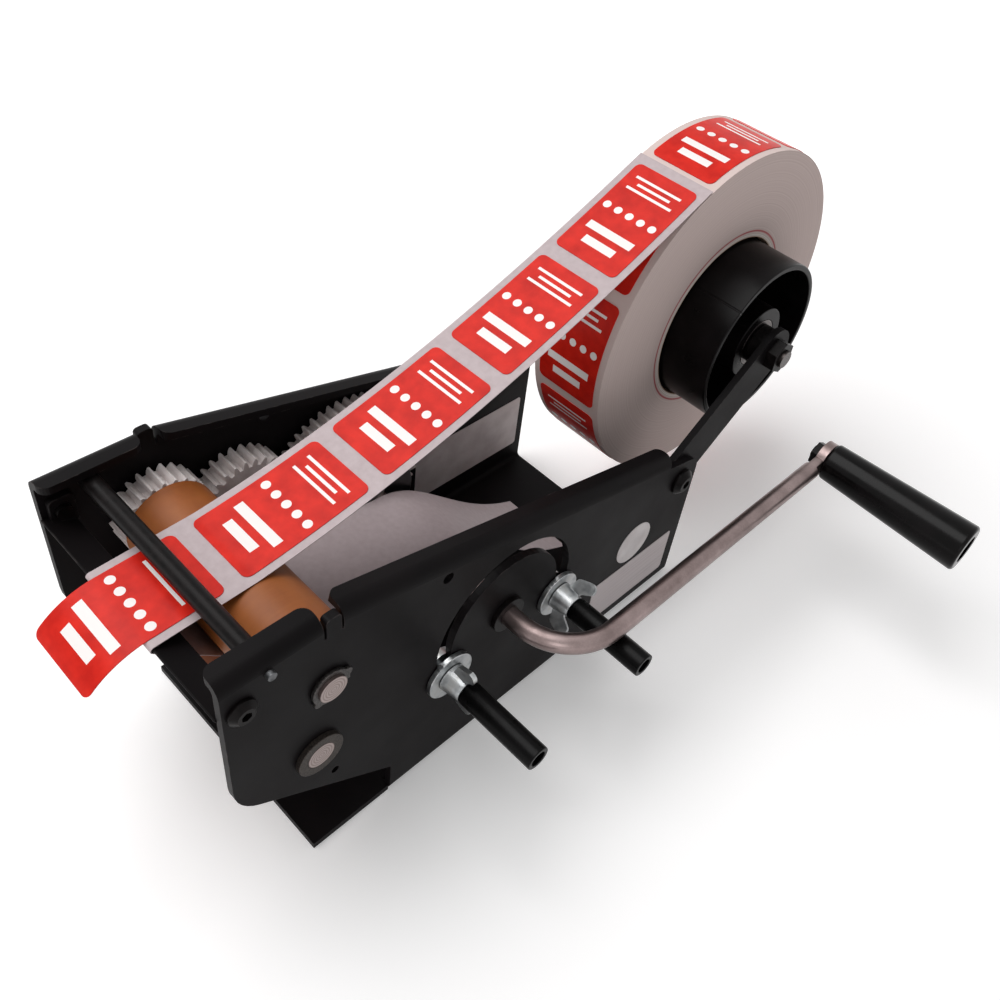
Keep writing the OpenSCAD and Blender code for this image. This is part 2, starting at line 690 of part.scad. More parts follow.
// front label: stuck to the paper behind the peel edge, free and drooping in front of it
droop_steps = 10;
function droop(i) = i <= 0 ? on_run(0) : droop(i - 1) + label_out / droop_steps
    * [-cos(4 + 38 * (i - 0.5) / droop_steps), -sin(4 + 38 * (i - 0.5) / droop_steps)];
module front_label() {
    stuck = label_len - label_out;
    pts = concat([for (i = [6:-1:1]) on_run(stuck * i / 6)], [for (i = [0:droop_steps]) droop(i)]);
    color([0.92, 0.2, 0.16]) intersection() {
        along_x(liner_x - label_w / 2 - 1, liner_x + label_w / 2 + 1)
            polygon(strip(pts, liner_t + 0.02, liner_t + 0.02 + label_t));
        label_mask(droop(droop_steps)[0], on_run(stuck)[0]);
    }
}

// blank stickers
module round_sticker() {
    color([0.93, 0.92, 0.92]) rod_x(hw, hw + 0.2, dot_d, [y_back - 35.4, relief_h + 28.6]);
}
module plate_sticker() {
    color([0.8, 0.78, 0.78]) along_x(hw, hw + 0.2) polygon(rounded([
        [y_back - 6 - plate_len, bend_r + 4, 1.5], [y_back - 6, bend_r + 4, 1.5],
        [y_back - 6, bend_r + 4 + plate_h, 1.5], [y_back - 6 - plate_len, bend_r + 4 + plate_h, 1.5]]));
}
module inner_sticker() {
    color([0.9, 0.88, 0.88]) along_x(-inner, -inner + 0.2) polygon(rounded([
        [y_back - 4 - inner_len, bend_r + 9, 1.5], [y_back - 4, bend_r + 9, 1.5],
        [y_back - 4, bend_r + 9 + inner_h, 1.5], [y_back - 4 - inner_len, bend_r + 9 + inner_h, 1.5]]));
}

// crank
module crank_rod() {
    color([0.74, 0.7, 0.68]) translate([0, crank_at[0], crank_at[1]]) rotate([arm_rest, 0, 0]) difference() {
        union() {
            rod_x(-hw - pinch_flange_t - 1, bend_x, rod_d, [0, 0]);
            translate([bend_x, rod_bend, 0]) rotate([0, 0, -90])
                rotate_extrude(angle = 90) translate([rod_bend, 0]) circle(d = rod_d);
            translate([arm_x, rod_bend, 0]) rotate([-90, 0, 0])
                cylinder(h = arm_len - rod_bend - 2, d = rod_d);
            rod_x(arm_x - eye_t / 2, arm_x + eye_t / 2, eye_d, [arm_len, 0]);
        }
        rod_x(arm_x - rod_d, arm_x + rod_d, grip_bolt_d + 2 * head_gap, [arm_len, 0]);
        for (s = [-1, 1]) translate([arm_x + s * (eye_t / 2 + 5), arm_len, 0])
            cube([10, 1.6 * eye_d, rod_d + 8], center = true);
    }
}
module on_arm() { translate([0, crank_at[0], crank_at[1]]) rotate([arm_rest, 0, 0]) children(); }
module crank_gear() { color([0.95, 0.93, 0.93]) gear(crank_teeth, crank_turn, rod_d, rod_d + 12, crank_at); }
module clutch_hub() {
    color([0.1, 0.1, 0.11]) ring_x(gear_x1 + 0.5, clutch_x1, clutch_d, rod_d, crank_at);
}
module clutch_ring() { color([0.75, 0.74, 0.73]) snap_ring(clutch_x1, rod_d, 20, crank_at); }
module grip_bolt() {
    color([0.2, 0.2, 0.2]) on_arm() {
        rod_x(arm_x - eye_t / 2 - grip_nut_t - 0.8, grip_x1 - grip_recess, grip_bolt_d, [arm_len, 0]);
        difference() {
            rod_x(grip_x1 - grip_recess + gap, grip_x1 - grip_recess + gap + 4, grip_head_d, [arm_len, 0]);
            hex_x(grip_x1 - grip_recess + gap + 1.5, grip_x1, 4, [arm_len, 0]);
        }
        rod_x(grip_x1 - grip_recess - 1, grip_x1 - grip_recess + gap + 1, grip_bolt_d, [arm_len, 0]);
    }
}
module grip_nut() {
    color([0.1, 0.1, 0.1]) on_arm() difference() {
        hex_x(arm_x - eye_t / 2 - grip_nut_t, arm_x - eye_t / 2, 10, [arm_len, 0]);
        rod_x(arm_x - eye_t - grip_nut_t, arm_x, grip_bolt_d + 2 * head_gap, [arm_len, 0]);
    }
}
module grip() {
    color([0.05, 0.05, 0.05]) on_arm() translate([0, arm_len, 0]) difference() {
        translate([grip_x0, 0, 0]) rotate([0, 90, 0]) rotate_extrude() polygon(rounded([
            [0, 0, 0], [grip_d1 / 2, 0, 1.2], [grip_d2 / 2, grip_len, 1.5], [0, grip_len, 0]]));
        rod_x(grip_x0 - 1, grip_x1 + 1, grip_bolt_d + 2 * fit, [0, 0]);
        rod_x(grip_x1 - grip_recess, grip_x1 + 1, grip_head_d + 2, [0, 0]);
    }
}

// idler
module idler_gear() {
    color([0.95, 0.93, 0.93]) gear(idler_teeth, idler_turn, idler_pin_d + 2 * fit, idler_pin_d + 8, idler_at);
}

// drive roller
module drive_shaft() { color([0.72, 0.68, 0.66]) rod_x(-hw - shaft_out, hw + shaft_out, shaft_d, drive_at); }
module drive_roller() { color([0.6, 0.38, 0.2]) ring_x(roller_x0, roller_x1, drive_d, shaft_d, drive_at); }
module drive_gear() {
    color([0.95, 0.93, 0.93]) gear(drive_teeth, train_dir, shaft_d, shaft_d + 8, drive_at);
}
module drive_ring_right() { color([0.3, 0.3, 0.3]) snap_ring(hw + gap, shaft_d, 302, drive_at); }
module drive_ring_left() { color([0.3, 0.3, 0.3]) snap_ring(-hw - gap - ring_t, shaft_d, 302, drive_at); }

// pinch roller
pinch_end = hw + pinch_flange_t;
module pinch_shaft() { color([0.72, 0.68, 0.66]) rod_x(-pinch_end, pinch_end, shaft_d, pinch_at); }
module pinch_roller() {
    color([0.55, 0.33, 0.18]) ring_x(roller_x0, roller_x1 - pinch_inset, pinch_d, shaft_d, pinch_at);
}
module pinch_ring_right() { color([0.3, 0.3, 0.3]) snap_ring(inner - gap - ring_t, shaft_d, 45, pinch_at); }
module pinch_ring_left() { color([0.3, 0.3, 0.3]) snap_ring(-inner + gap, shaft_d, 45, pinch_at); }

// spool
module spool_hub() {
    color([0.07, 0.07, 0.07]) {
        ring_x(hub_x0, hub_x1, hub_d, hub_d - 2 * hub_wall, spool_at);
        ring_x(hub_x0, seat_x1, seat_d, hub_d - hub_wall, spool_at);
        ring_x(web_disc_x, web_disc_x + web_disc, hub_d - hub_wall, bearing_d - 4, spool_at);
        difference() {
            rod_x(hub_x0, hub_x1 - 1.4, boss_d, spool_at);
            rod_x(hub_x0 - 1, hub_x1, bearing_d - 4, spool_at);
            rod_x(hub_x1 - 1.4 - bearing_w, hub_x1, bearing_d, spool_at);
            rod_x(hub_x0 - 1, hub_x0 + bearing_w, bearing_d, spool_at);
        }
    }
}
module bearing(x0) { ring_x(x0, x0 + bearing_w, bearing_d, axle_d + 2 * fit, spool_at); }
module spool_bearing_near() { color([0.55, 0.54, 0.53]) bearing(hub_x1 - 1.4 - bearing_w); }
module spool_bearing_far() { color([0.55, 0.54, 0.53]) bearing(hub_x0); }
module label_core() {
    color([0.75, 0.3, 0.25]) ring_x(liner_x0, liner_x0 + liner_w, core_out, core_in, spool_at);
}
module label_roll() {
    color([0.88, 0.85, 0.85]) ring_x(liner_x0, liner_x0 + liner_w, roll_d, core_out, spool_at);
}
turn_labels = floor(PI * roll_d / (label_pitch * 0.97));
roll_first = 90 + web_slope - lap - label_gap * 0.4 / roll_r * 180 / PI;
label_arc = label_len / (PI * roll_d) * 360;
module roll_labels() {
    color([0.92, 0.2, 0.16]) for (k = [0:turn_labels - 1]) intersection() {
        ring_x(liner_x - label_w / 2 - 1, liner_x + label_w / 2 + 1,
            roll_d + 2 * label_t, roll_d + 0.06, spool_at);
        translate([0, spool_at[0], spool_at[1]])
            rotate([roll_first - 90 - label_arc / 2 - k * 360 / turn_labels, 0, 0])
            linear_extrude(roll_d) polygon(rounded([
                for (c = [[-1, -1], [1, -1], [1, 1], [-1, 1]])
                    [liner_x + c[0] * label_w / 2, c[1] * roll_d / 2 * sin(label_arc / 2), label_r]]));
    }
}

// stops
module stud(a) {
    rod_x(inner - gap - stud_head_t, tube_x1 - stud_short, stud_d, stop_at(a));
    rod_x(inner - gap - stud_head_t, inner - gap, stud_d + 2 * stud_head_w, stop_at(a));
}
module washer(a) { ring_x(washer_x0, washer_x0 + washer_t, washer_d, stud_d, stop_at(a)); }
module tube(a) { ring_x(tube_x0, tube_x1, tube_d, stud_d, stop_at(a)); }
module wing_nut(a, turn) {
    at = stop_at(a);
    difference() {
        union() {
            translate([wing_x0, at[0], at[1]]) rotate([0, 90, 0]) cylinder(h = wing_h, d1 = 11.5, d2 = 9);
            translate([0, at[0], at[1]]) rotate([turn, 0, 0]) for (s = [0, 180]) rotate([s, 0, 0])
                translate([0, 0, -0.9]) linear_extrude(1.8) polygon(rounded([
                    [wing_x0 + 0.8, 3.5, 0], [wing_x0 + 3, wing_span / 2 - 2.5, 2],
                    [wing_x0 + wing_h + 3, wing_span / 2, 2.5],
                    [wing_x0 + wing_h + 3.4, wing_span / 2 - 4.6, 1.5],
                    [wing_x0 + wing_h - 1, tube_d / 2 + 0.6, 0], [wing_x0 + wing_h - 2, 3.5, 0]]));
        }
        rod_x(wing_x0 - 1, wing_x0 + wing_h + 1, stud_d + 2 * fit, at);
    }
}
module front_stud() { color([0.8, 0.8, 0.8]) stud(front_stop_at); }
module front_washer() { color([0.8, 0.8, 0.78]) washer(front_stop_at); }
module front_tube() { color([0.06, 0.06, 0.06]) tube(front_stop_at); }
module front_wing_nut() { color([0.85, 0.85, 0.85]) wing_nut(front_stop_at, front_wing_turn); }
module rear_stud() { color([0.8, 0.8, 0.8]) stud(rear_stop_at); }
module rear_washer() { color([0.8, 0.8, 0.78]) washer(rear_stop_at); }
module rear_tube() { color([0.06, 0.06, 0.06]) tube(rear_stop_at); }
module rear_wing_nut() { color([0.85, 0.85, 0.85]) wing_nut(rear_stop_at, rear_wing_turn); }

chassis();
peel_plate();
peel_screw_left();
peel_screw_right();
hold_down_bar();
bar_pin_left();
bar_pin_right();
drive_bushing_left();
drive_bushing_right();
pinch_bushing_left();
pinch_bushing_right();
crank_bushing_left();
crank_bushing_right();
idler_stud();
idler_clip();
roll_arm();
arm_screw();
arm_nut();
hub_axle();
axle_nut();
axle_collar();
axle_clip();
liner();
web_labels();
front_label();
round_sticker();
plate_sticker();
inner_sticker();
crank_rod();
crank_gear();
clutch_hub();
clutch_ring();
grip_bolt();
grip_nut();
grip();
idler_gear();
drive_shaft();
drive_roller();
drive_gear();
drive_ring_left();
drive_ring_right();
pinch_shaft();
pinch_roller();
pinch_ring_left();
pinch_ring_right();
spool_hub();
spool_bearing_near();
spool_bearing_far();
label_core();
label_roll();
roll_labels();
front_stud();
front_washer();
front_tube();
front_wing_nut();
rear_stud();
rear_washer();
rear_tube();
rear_wing_nut();
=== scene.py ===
"""Looks of a hand-cranked label dispenser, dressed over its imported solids."""
import json
import math

import bmesh
import bpy
from mathutils import Matrix, Vector


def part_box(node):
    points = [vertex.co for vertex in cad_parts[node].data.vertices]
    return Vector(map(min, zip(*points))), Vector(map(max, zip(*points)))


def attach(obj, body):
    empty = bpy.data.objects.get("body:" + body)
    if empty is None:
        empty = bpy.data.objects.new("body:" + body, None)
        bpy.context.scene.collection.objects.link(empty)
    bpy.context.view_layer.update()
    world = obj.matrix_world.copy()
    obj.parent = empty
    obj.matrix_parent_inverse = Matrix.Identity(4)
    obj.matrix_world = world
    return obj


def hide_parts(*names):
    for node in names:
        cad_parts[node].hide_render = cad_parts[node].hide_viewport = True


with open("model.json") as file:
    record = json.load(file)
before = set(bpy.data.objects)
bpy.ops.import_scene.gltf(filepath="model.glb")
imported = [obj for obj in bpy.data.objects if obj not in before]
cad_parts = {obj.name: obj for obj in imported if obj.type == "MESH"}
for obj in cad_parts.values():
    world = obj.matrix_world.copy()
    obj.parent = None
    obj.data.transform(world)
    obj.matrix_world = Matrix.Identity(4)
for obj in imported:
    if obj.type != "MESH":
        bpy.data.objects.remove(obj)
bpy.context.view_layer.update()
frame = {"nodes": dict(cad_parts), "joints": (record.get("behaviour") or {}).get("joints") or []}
solids = frame["nodes"]
mm = 0.001


# Camera: a hand-held shot from above the right front corner, tilted a little to the left.
# The principal point lies off the middle because the picture was cropped.
camera = bpy.data.objects.new("camera", bpy.data.cameras.new("camera"))
bpy.context.scene.collection.objects.link(camera)
bpy.context.scene.camera = camera
to_right = Vector((0.7154, 0.6870, 0.1275))
to_top = Vector((-0.5373, 0.4244, 0.7288))
camera.matrix_world = Matrix((to_right, to_top, to_right.cross(to_top))).transposed().to_4x4()
camera.location = (0.1967, -0.1967, 0.3636)
camera.data.sensor_width = 36
camera.data.lens = 36.87
camera.data.shift_x = -0.0507
camera.data.shift_y = -0.0566
camera.data.clip_start = 0.01


# Chassis: one sheet of 3 mm steel, punched and bent into a channel with inward top flanges,
# then powder coated black. The roll arm and the peel plate are cut from the same stock.
def linear(code):
    """Linear RGBA of an sRGB hex colour."""
    parts = [int(code[i:i + 2], 16) / 255 for i in (1, 3, 5)]
    return [c / 12.92 if c <= 0.04045 else ((c + 0.055) / 1.055) ** 2.4 for c in parts] + [1]


def surface(name, color, **sockets):
    """A new material with one Principled shader; sockets are constants by name."""
    material = bpy.data.materials.new(name)
    material.use_nodes = True
    shader = material.node_tree.nodes["Principled BSDF"]
    shader.inputs["Base Color"].default_value = linear(color)
    for socket, value in sockets.items():
        shader.inputs[socket.replace("_", " ")].default_value = value
    return material, material.node_tree, shader.inputs


def add(tree, kind, inputs=None, **settings):
    """Adds a shader node, sets its properties, then fills its inputs or links them."""
    node = tree.nodes.new("ShaderNode" + kind)
    for name, value in settings.items():
        setattr(node, name, value)
    for name, value in (inputs or {}).items():
        if isinstance(value, bpy.types.NodeSocket):
            tree.links.new(value, node.inputs[name])
        else:
            node.inputs[name].default_value = value
    return node.outputs


def ramp(tree, value, *stops):
    """A colour ramp through (place, hex colour) stops."""
    out = add(tree, "ValToRGB", {"Fac": value})
    points = out[0].node.color_ramp.elements
    while len(points) < len(stops):
        points.new(0.5)
    for point, (place, code) in zip(points, stops):
        point.position = place
        point.color = linear(code)
    return out["Color"]


def dress(material, *names):
    """Puts a material on solids that keep their own shape."""
    for name in names:
        solids[name].data.materials.clear()
        solids[name].data.materials.append(material)


def soften(width, *names):
    """Breaks the sharp edges of solids, as tumbling or moulding does, and keeps flat faces flat."""
    for name in names:
        weld = solids[name].modifiers.new("weld", "WELD")
        weld.merge_threshold = 0.002 * mm
        edge = solids[name].modifiers.new("edge", "BEVEL")
        edge.width = width * mm
        edge.segments = 2
        edge.limit_method = "ANGLE"
        edge.angle_limit = math.radians(38)
        edge.face_strength_mode = "FSTR_ALL"
        flat = solids[name].modifiers.new("flat", "WEIGHTED_NORMAL")
        flat.keep_sharp = True
        flat.use_face_influence = True


# Powder coat: a thick polyester skin, satin, with a faint orange peel of about 0.8 mm, 30 mm
# patches that handling has polished or dulled, and edges rubbed down to the grey of the steel.
powder_coat, tree, sockets = surface("powder_coat", "#0e0c0d", Specular_IOR_Level=0.06)
place = add(tree, "TexCoord")["Object"]
patches = add(tree, "TexNoise", {"Vector": place, "Scale": 1 / (30 * mm), "Detail": 4})["Fac"]
peel = add(tree, "TexNoise", {"Vector": place, "Scale": 1 / (0.8 * mm), "Detail": 2})["Fac"]
coat = ramp(tree, patches, (0.3, "#0b090a"), (0.75, "#141112"))
rounded = add(tree, "Bevel", {"Radius": 0.5 * mm}, samples=4)["Normal"]
true_normal = add(tree, "NewGeometry")["Normal"]
facing = add(tree, "VectorMath", {0: rounded, 1: true_normal}, operation="DOT_PRODUCT")["Value"]
rubs = add(tree, "TexNoise", {"Vector": place, "Scale": 1 / (4 * mm), "Detail": 5})["Fac"]
edge = add(tree, "MapRange", {"Value": facing, "From Min": 0.97, "From Max": 0.86})["Result"]
bare = add(tree, "MapRange", {"Value": rubs, "From Min": 0.52, "From Max": 0.66,
                              "To Max": 0.5})["Result"]
worn_edge = add(tree, "Math", {0: edge, 1: bare}, operation="MULTIPLY")["Value"]
coat = add(tree, "Mix", {"Factor": worn_edge, "A": coat, "B": linear("#5b5452")},
           data_type="RGBA")["Result"]
tree.links.new(coat, sockets["Base Color"])
gloss = add(tree, "MapRange", {"Value": patches, "From Min": 0.3, "From Max": 0.7,
                               "To Min": 0.4, "To Max": 0.54})
tree.links.new(gloss["Result"], sockets["Roughness"])
grain = add(tree, "Bump", {"Height": peel, "Strength": 0.12, "Distance": 0.1 * mm})
tree.links.new(grain["Normal"], sockets["Normal"])
dress(powder_coat, "chassis", "roll_arm", "peel_plate")
soften(0.35, "chassis", "peel_plate")


# Screws, bar and nuts: carbon steel, blackened in a hot oxide bath and oiled.
# They look darker and wetter than the paint, with brown where the oil has dried.
black_oxide, tree, sockets = surface("black_oxide_steel", "#0d0b0b", Metallic=0.1,
                                     Specular_IOR_Level=0.09)
place = add(tree, "TexCoord")["Object"]
film = add(tree, "TexNoise", {"Vector": place, "Scale": 1 / (3 * mm), "Detail": 3})["Fac"]
tree.links.new(ramp(tree, film, (0.35, "#0a0808"), (0.7, "#151111")), sockets["Base Color"])
wet = add(tree, "MapRange", {"Value": film, "To Min": 0.26, "To Max": 0.48})
tree.links.new(wet["Result"], sockets["Roughness"])
tumbled = ("peel_screw_left", "peel_screw_right", "arm_screw", "arm_nut", "axle_nut", "axle_collar",
           "grip_nut", "crank_bushing_left", "crank_bushing_right")
dress(black_oxide, "hold_down_bar", "grip_bolt", *tumbled)
soften(0.2, *tumbled)


# Roller bushings: sintered bronze, pressed into the walls and soaked in oil, which has turned
# them a dull dark brown. Sintering leaves fine pores, drawn at 0.4 mm so that they show.
sintered, tree, sockets = surface("sintered_bronze", "#332e2a", Metallic=0.7, Roughness=0.5)
place = add(tree, "TexCoord")["Object"]
pores = add(tree, "TexNoise", {"Vector": place, "Scale": 1 / (0.4 * mm), "Detail": 2})["Fac"]
tree.links.new(ramp(tree, pores, (0.35, "#231f1c"), (0.65, "#423b36")), sockets["Base Color"])
pitted = add(tree, "Bump", {"Height": pores, "Strength": 0.3, "Distance": 0.05 * mm})
tree.links.new(pitted["Normal"], sockets["Normal"])
bushings = ("drive_bushing_left", "drive_bushing_right", "pinch_bushing_left", "pinch_bushing_right")
dress(sintered, *bushings)
soften(0.25, *bushings)


# Shafts, studs and the spool axle: bright bar, cut and faced on a lathe.
# Turning leaves fine rings on the end faces, drawn 1 mm apart so that they show. The axle
# and its bearings have gone dull.
joint_at = {joint["name"]: Vector(joint["pos_m"]) for joint in frame["joints"]}


def turned_steel(name, axis_at, dark="#857673", light="#a89a96"):
    """Bright steel with turning rings round an axis along X."""
    material, tree, sockets = surface(name, light, Metallic=1.0, Roughness=0.32)
    place = add(tree, "TexCoord")["Object"]
    centred = add(tree, "Mapping", {"Vector": place, "Location": -axis_at})["Vector"]
    ring_pitch, wave_length = 1 * mm, 2 * math.pi / 20
    rings = add(tree, "TexWave", {"Vector": centred, "Scale": wave_length / ring_pitch,
                                  "Distortion": 1.5, "Detail": 2},
                wave_type="RINGS", rings_direction="X")["Fac"]
    tree.links.new(ramp(tree, rings, (0, dark), (1, light)), sockets["Base Color"])
    groove = add(tree, "Bump", {"Height": rings, "Strength": 0.15, "Distance": 0.02 * mm})
    tree.links.new(groove["Normal"], sockets["Normal"])
    return material


dress(turned_steel("turned_drive_shaft", joint_at["drive_spin"]), "drive_shaft")
dress(turned_steel("turned_pinch_shaft", joint_at["pinch_spin"]), "pinch_shaft")
dress(turned_steel("turned_idler_stud", joint_at["idler_spin"]), "idler_stud")
dress(turned_steel("tarnished_axle", joint_at["spool_spin"], "#3f3a39", "#5d5654"),
      "hub_axle", "spool_bearing_near", "spool_bearing_far")
soften(0.3, "drive_shaft", "pinch_shaft", "idler_stud", "hub_axle",
       "spool_bearing_near", "spool_bearing_far")


# Retaining clips: rings stamped from spring steel, each sprung into a groove to keep a shaft, a
# gear or the hub in place. They are phosphated to a dark grey, whose crystals are drawn at 0.6 mm.
spring_steel, tree, sockets = surface("spring_steel", "#3d3b3a", Metallic=0.8, Roughness=0.42)
place = add(tree, "TexCoord")["Object"]
crystals = add(tree, "TexNoise", {"Vector": place, "Scale": 1 / (0.6 * mm), "Detail": 3})["Fac"]
tree.links.new(ramp(tree, crystals, (0.3, "#2c2a2a"), (0.7, "#55514f")), sockets["Base Color"])
clips = ("idler_clip", "axle_clip", "drive_ring_left", "drive_ring_right",
         "pinch_ring_left", "pinch_ring_right")
dress(spring_steel, *clips)
soften(0.15, *clips)


# Zinc-plated hardware: studs, washers, wing nuts, pins and the clutch ring.
# Plating gives a bright skin with soft cloudy patches of 4 mm and a cool cast. The pins of the
# bar have gone dull.
zinc_plate, tree, sockets = surface("zinc_plate", "#a6a8a9", Metallic=1.0, Roughness=0.3)
place = add(tree, "TexCoord")["Object"]
clouds = add(tree, "TexNoise", {"Vector": place, "Scale": 1 / (4 * mm), "Detail": 4})["Fac"]
cloudy = ramp(tree, clouds, (0.3, "#8d9092"), (0.55, "#b3b5b6"), (0.8, "#aaa8a3"))
tree.links.new(cloudy, sockets["Base Color"])
dull = add(tree, "MapRange", {"Value": clouds, "To Min": 0.22, "To Max": 0.44})
tree.links.new(dull["Result"], sockets["Roughness"])
dress(zinc_plate, "clutch_ring", "front_stud", "front_washer",
      "front_wing_nut", "rear_stud", "rear_washer", "rear_wing_nut")
soften(0.3, "front_washer", "rear_washer")
soften(0.55, "front_wing_nut", "rear_wing_nut")
dull_zinc, tree, sockets = surface("dull_zinc", "#5f6062", Metallic=1.0, Roughness=0.5)
place = add(tree, "TexCoord")["Object"]
white_rust = add(tree, "TexNoise", {"Vector": place, "Scale": 1 / (1.5 * mm), "Detail": 3})["Fac"]
tree.links.new(ramp(tree, white_rust, (0.35, "#4f5052"), (0.7, "#727375")), sockets["Base Color"])
dress(dull_zinc, "bar_pin_left", "bar_pin_right")


# Stop tubes: soft black vinyl, cut from hose and pushed over the studs, so that the crank's arm
# lands without a knock. They look dark and shiny, with a dusty bloom in 5 mm patches.
vinyl, tree, sockets = surface("vinyl_hose", "#060505", Roughness=0.3, Specular_IOR_Level=0.08)
place = add(tree, "TexCoord")["Object"]
bloom = add(tree, "TexNoise", {"Vector": place, "Scale": 1 / (5 * mm), "Detail": 5})["Fac"]
tree.links.new(ramp(tree, bloom, (0.4, "#040404"), (0.8, "#0b090a")), sockets["Base Color"])
scuff = add(tree, "MapRange", {"Value": bloom, "To Min": 0.18, "To Max": 0.42})
tree.links.new(scuff["Result"], sockets["Roughness"])
dress(vinyl, "front_tube", "rear_tube")
soften(0.4, "front_tube", "rear_tube")


# Gears: white nylon blanks with hobbed teeth, one on the clutch, one on its own stud and one on
# the drive shaft. The milky plastic glows a little and has gone grey in smears of 6 mm.
nylon, tree, sockets = surface("nylon", "#efeae7", Roughness=0.38,
                               Subsurface_Weight=0.15, Subsurface_Scale=1.5 * mm)
sockets["Subsurface Radius"].default_value = (1.0, 0.9, 0.8)
place = add(tree, "TexCoord")["Object"]
smear = add(tree, "TexNoise", {"Vector": place, "Scale": 1 / (6 * mm), "Detail": 5})["Fac"]
tree.links.new(ramp(tree, smear, (0.3, "#d3c8c6"), (0.6, "#eae2e0")), sockets["Base Color"])
gears = ("crank_gear", "idler_gear", "drive_gear")
dress(nylon, *gears)
soften(0.12, *gears)


# One-way clutch: a black acetal shell, turned, fixed on the rod and holding the crank gear
# with a ring. It looks matt, with faint tool marks of about 2 mm.
acetal, tree, sockets = surface("acetal", "#151516", Roughness=0.36)
place = add(tree, "TexCoord")["Object"]
tooling = add(tree, "TexNoise", {"Vector": place, "Scale": 1 / (2 * mm), "Detail": 3})["Fac"]
tree.links.new(ramp(tree, tooling, (0.35, "#111112"), (0.7, "#1e1e20")), sockets["Base Color"])
dress(acetal, "clutch_hub")
soften(0.6, "clutch_hub")


# Rollers: tan polyurethane, cast on the shafts and ground. Grinding leaves hair lines round
# the roller, drawn 1.2 mm apart, and use has stained them.
def ground_rubber(name, dark, light):
    """Cast polyurethane with grinding lines round the X axis."""
    material, tree, sockets = surface(name, light, Roughness=0.5, Specular_IOR_Level=0.3,
                                      Subsurface_Weight=0.1, Subsurface_Scale=2 * mm)
    place = add(tree, "TexCoord")["Object"]
    along = add(tree, "Mapping", {"Vector": place, "Scale": (1 / (1.2 * mm), 12, 12)})["Vector"]
    lines = add(tree, "TexNoise", {"Vector": along, "Scale": 1, "Detail": 3})["Fac"]
    stain = add(tree, "TexNoise", {"Vector": place, "Scale": 1 / (14 * mm), "Detail": 4})["Fac"]
    both = add(tree, "Mix", {"Factor": 0.15, "A": stain, "B": lines}, data_type="FLOAT")["Result"]
    tree.links.new(ramp(tree, both, (0.32, dark), (0.66, light)), sockets["Base Color"])
    ridge = add(tree, "Bump", {"Height": lines, "Strength": 0.06, "Distance": 0.05 * mm})
    tree.links.new(ridge["Normal"], sockets["Normal"])
    return material


dress(ground_rubber("drive_polyurethane", "#80451d", "#985625"), "drive_roller")
# The pinch roller's darker colours are painted shade, for the shadow it sits in under the drive roller.
dress(ground_rubber("pinch_polyurethane_painted_shade", "#6f3817", "#84481e"), "pinch_roller")
soften(0.5, "drive_roller", "pinch_roller")


# Crank rod: 8 mm cold-drawn steel, bent cold. Drawing leaves a satin skin, and handling
# has tarnished it in warm grey patches of about 10 mm.
drawn_steel, tree, sockets = surface("drawn_steel", "#847472", Metallic=1.0, Roughness=0.34)
place = add(tree, "TexCoord")["Object"]
tarnish = add(tree, "TexNoise", {"Vector": place, "Scale": 1 / (10 * mm), "Detail": 6})["Fac"]
scratch = add(tree, "TexNoise", {"Vector": place, "Scale": 1 / (0.7 * mm), "Detail": 2})["Fac"]
mixed = add(tree, "Mix", {"Factor": 0.2, "A": tarnish, "B": scratch}, data_type="FLOAT")["Result"]
tree.links.new(ramp(tree, mixed, (0.32, "#746664"), (0.68, "#958583")), sockets["Base Color"])
worn = add(tree, "MapRange", {"Value": mixed, "From Min": 0.3, "From Max": 0.7,
                              "To Min": 0.42, "To Max": 0.26})
tree.links.new(worn["Result"], sockets["Roughness"])
dress(drawn_steel, "crank_rod")
soften(0.3, "crank_rod")


# Grip: phenolic, black through, turned to shape and free to spin on a bolt through the rod's
# flat eye. Hands have polished it to a gloss, with duller patches of about 8 mm.
phenolic, tree, sockets = surface("phenolic", "#060505", Roughness=0.2, Specular_IOR_Level=0.1)
place = add(tree, "TexCoord")["Object"]
polish = add(tree, "TexNoise", {"Vector": place, "Scale": 1 / (8 * mm), "Detail": 5})["Fac"]
tree.links.new(ramp(tree, polish, (0.4, "#060505"), (0.75, "#0f0c0d")), sockets["Base Color"])
sheen = add(tree, "MapRange", {"Value": polish, "To Min": 0.12, "To Max": 0.28})
tree.links.new(sheen["Result"], sockets["Roughness"])
dress(phenolic, "grip")


# Spool hub: black ABS, injection moulded, running on two bearings. It has a gloss skin, flow
# marks of about 18 mm and the two parting lines of the mould, drawn 1 mm wide so that they show.
moulded_abs, tree, sockets = surface("moulded_abs", "#070506", Roughness=0.26, Specular_IOR_Level=0.08)
place = add(tree, "TexCoord")["Object"]
flow = add(tree, "TexNoise", {"Vector": place, "Scale": 1 / (18 * mm), "Detail": 5})["Fac"]
tree.links.new(ramp(tree, flow, (0.35, "#050404"), (0.7, "#0f0c0d")), sockets["Base Color"])
skin = add(tree, "MapRange", {"Value": flow, "To Min": 0.2, "To Max": 0.4})
tree.links.new(skin["Result"], sockets["Roughness"])
spool_at = joint_at["spool_spin"]
centred = add(tree, "Mapping", {"Vector": place, "Location": -spool_at})["Vector"]
parts = add(tree, "SeparateXYZ", {0: centred})
round_hub = add(tree, "Math", {0: parts["Z"], 1: parts["Y"]}, operation="ARCTAN2")["Value"]
seam_angle = math.radians(133)
from_seam = add(tree, "Math", {0: round_hub, 1: seam_angle}, operation="SUBTRACT")["Value"]
swing = add(tree, "Math", {0: from_seam}, operation="SINE")["Value"]
off_seam = add(tree, "Math", {0: swing}, operation="ABSOLUTE")["Value"]
seam = add(tree, "MapRange", {"Value": off_seam, "From Min": 0.006, "From Max": 0.014})["Result"]
